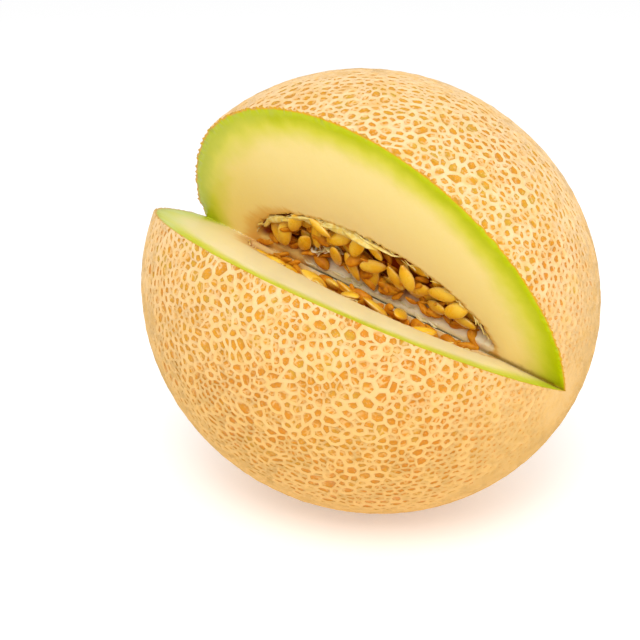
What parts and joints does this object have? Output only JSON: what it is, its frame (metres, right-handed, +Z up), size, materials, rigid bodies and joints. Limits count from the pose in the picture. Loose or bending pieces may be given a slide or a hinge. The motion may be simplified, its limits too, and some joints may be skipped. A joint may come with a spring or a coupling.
{
  "type": "cantaloupe melon",
  "caption": "Round netted cantaloupe melon with a wedge cut out, showing pale green flesh and seeds, lying on a small flat spot.",
  "frame": {"origin": "middle of the small flat spot that the fruit rests on", "axes": "+Z up; +X towards the blossom end, which dips 11 degrees below level; the wedge opens towards -Y"},
  "size_m": [0.1594, 0.15, 0.1481],
  "materials": {
    "netted_rind": "dry corky net over yellow-orange skin",
    "cut_flesh": "moist pale flesh, green towards the rind",
    "seed_coat": "wet smooth seed coat"
  },
  "bodies": {
    "root": {"melon_body": "netted_rind", "seed_01": "seed_coat", "seed_02": "seed_coat", "seed_03": "seed_coat", "seed_04": "seed_coat", "seed_05": "seed_coat", "seed_06": "seed_coat", "seed_07": "seed_coat", "seed_08": "seed_coat", "seed_09": "seed_coat", "seed_10": "seed_coat", "seed_11": "seed_coat", "seed_12": "seed_coat", "seed_13": "seed_coat", "seed_14": "seed_coat", "seed_15": "seed_coat", "seed_16": "seed_coat", "seed_17": "seed_coat", "seed_18": "seed_coat", "seed_19": "seed_coat", "seed_20": "seed_coat", "seed_21": "seed_coat", "seed_22": "seed_coat", "seed_23": "seed_coat", "seed_24": "seed_coat", "seed_25": "seed_coat", "seed_26": "seed_coat", "seed_27": "seed_coat", "seed_28": "seed_coat", "seed_29": "seed_coat", "seed_30": "seed_coat", "seed_31": "seed_coat", "seed_32": "seed_coat", "seed_33": "seed_coat", "seed_34": "seed_coat", "seed_35": "seed_coat", "seed_36": "seed_coat", "seed_37": "seed_coat", "seed_38": "seed_coat", "seed_39": "seed_coat", "seed_40": "seed_coat", "seed_41": "seed_coat", "seed_42": "seed_coat", "seed_43": "seed_coat", "seed_44": "seed_coat", "seed_45": "seed_coat", "seed_46": "seed_coat", "seed_47": "seed_coat", "seed_48": "seed_coat", "seed_49": "seed_coat", "seed_50": "seed_coat", "seed_51": "seed_coat", "seed_52": "seed_coat", "seed_53": "seed_coat", "seed_54": "seed_coat", "seed_55": "seed_coat", "seed_56": "seed_coat"}
  },
  "joints": []
}
